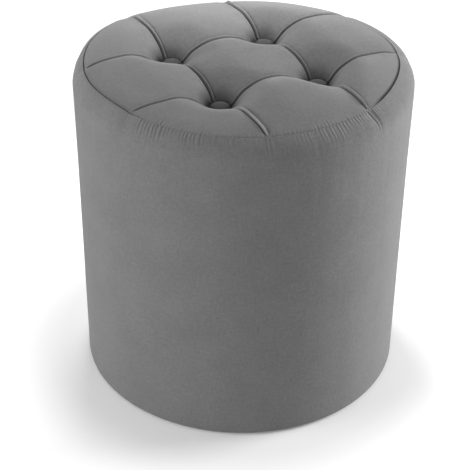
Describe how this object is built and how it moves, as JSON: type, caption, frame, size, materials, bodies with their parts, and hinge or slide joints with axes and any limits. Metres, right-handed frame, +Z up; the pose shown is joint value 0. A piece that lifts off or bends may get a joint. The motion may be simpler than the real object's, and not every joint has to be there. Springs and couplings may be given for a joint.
{
  "type": "tuffet",
  "caption": "Round upholstered tuffet: a straight-sided cloth drum with a deep-buttoned, tucked top and a sewn rim, standing on low glides.",
  "frame": {"origin": "centre of the base on the floor, under the glides", "axes": "+Z up through the middle of the drum; +X and +Y along the square of buttons, with the joint of the frame's wall at +Y"},
  "size_m": [0.4, 0.4, 0.4142],
  "materials": {
    "cover_cloth": "matt plain-weave linen-look polyester, mid grey",
    "button_cloth": "the same cloth, stretched over a button",
    "dust_cloth": "black spun-bonded cloth",
    "foam": "cream polyurethane foam",
    "wadding": "white polyester wadding",
    "plywood": "unfinished birch plywood",
    "pine": "planed pine",
    "hardboard": "brown hardboard, smooth face out",
    "twine": "waxed polyester twine",
    "nylon": "black nylon",
    "zinc_steel": "zinc-plated steel"
  },
  "bodies": {
    "root": {"top_cover": "cover_cloth", "side_cover": "cover_cloth", "seat_wadding": "wadding", "seat_foam": "foam", "side_foam": "foam", "button_cap_1": "button_cloth", "button_back_1": "zinc_steel", "tufting_twine_1": "twine", "twine_anchor_1": "nylon", "button_cap_2": "button_cloth", "button_back_2": "zinc_steel", "tufting_twine_2": "twine", "twine_anchor_2": "nylon", "button_cap_3": "button_cloth", "button_back_3": "zinc_steel", "tufting_twine_3": "twine", "twine_anchor_3": "nylon", "button_cap_4": "button_cloth", "button_back_4": "zinc_steel", "tufting_twine_4": "twine", "twine_anchor_4": "nylon", "seat_deck": "plywood", "drum_wall": "hardboard", "post_1": "pine", "post_2": "pine", "post_3": "pine", "post_4": "pine", "post_5": "pine", "post_6": "pine", "base_board": "plywood", "deck_screw_1": "zinc_steel", "base_screw_1": "zinc_steel", "deck_screw_2": "zinc_steel", "base_screw_2": "zinc_steel", "deck_screw_3": "zinc_steel", "base_screw_3": "zinc_steel", "deck_screw_4": "zinc_steel", "base_screw_4": "zinc_steel", "deck_screw_5": "zinc_steel", "base_screw_5": "zinc_steel", "deck_screw_6": "zinc_steel", "base_screw_6": "zinc_steel", "dust_cover": "dust_cloth", "glide_1": "nylon", "glide_nail_1": "zinc_steel", "glide_2": "nylon", "glide_nail_2": "zinc_steel", "glide_3": "nylon", "glide_nail_3": "zinc_steel", "glide_4": "nylon", "glide_nail_4": "zinc_steel"}
  },
  "joints": []
}
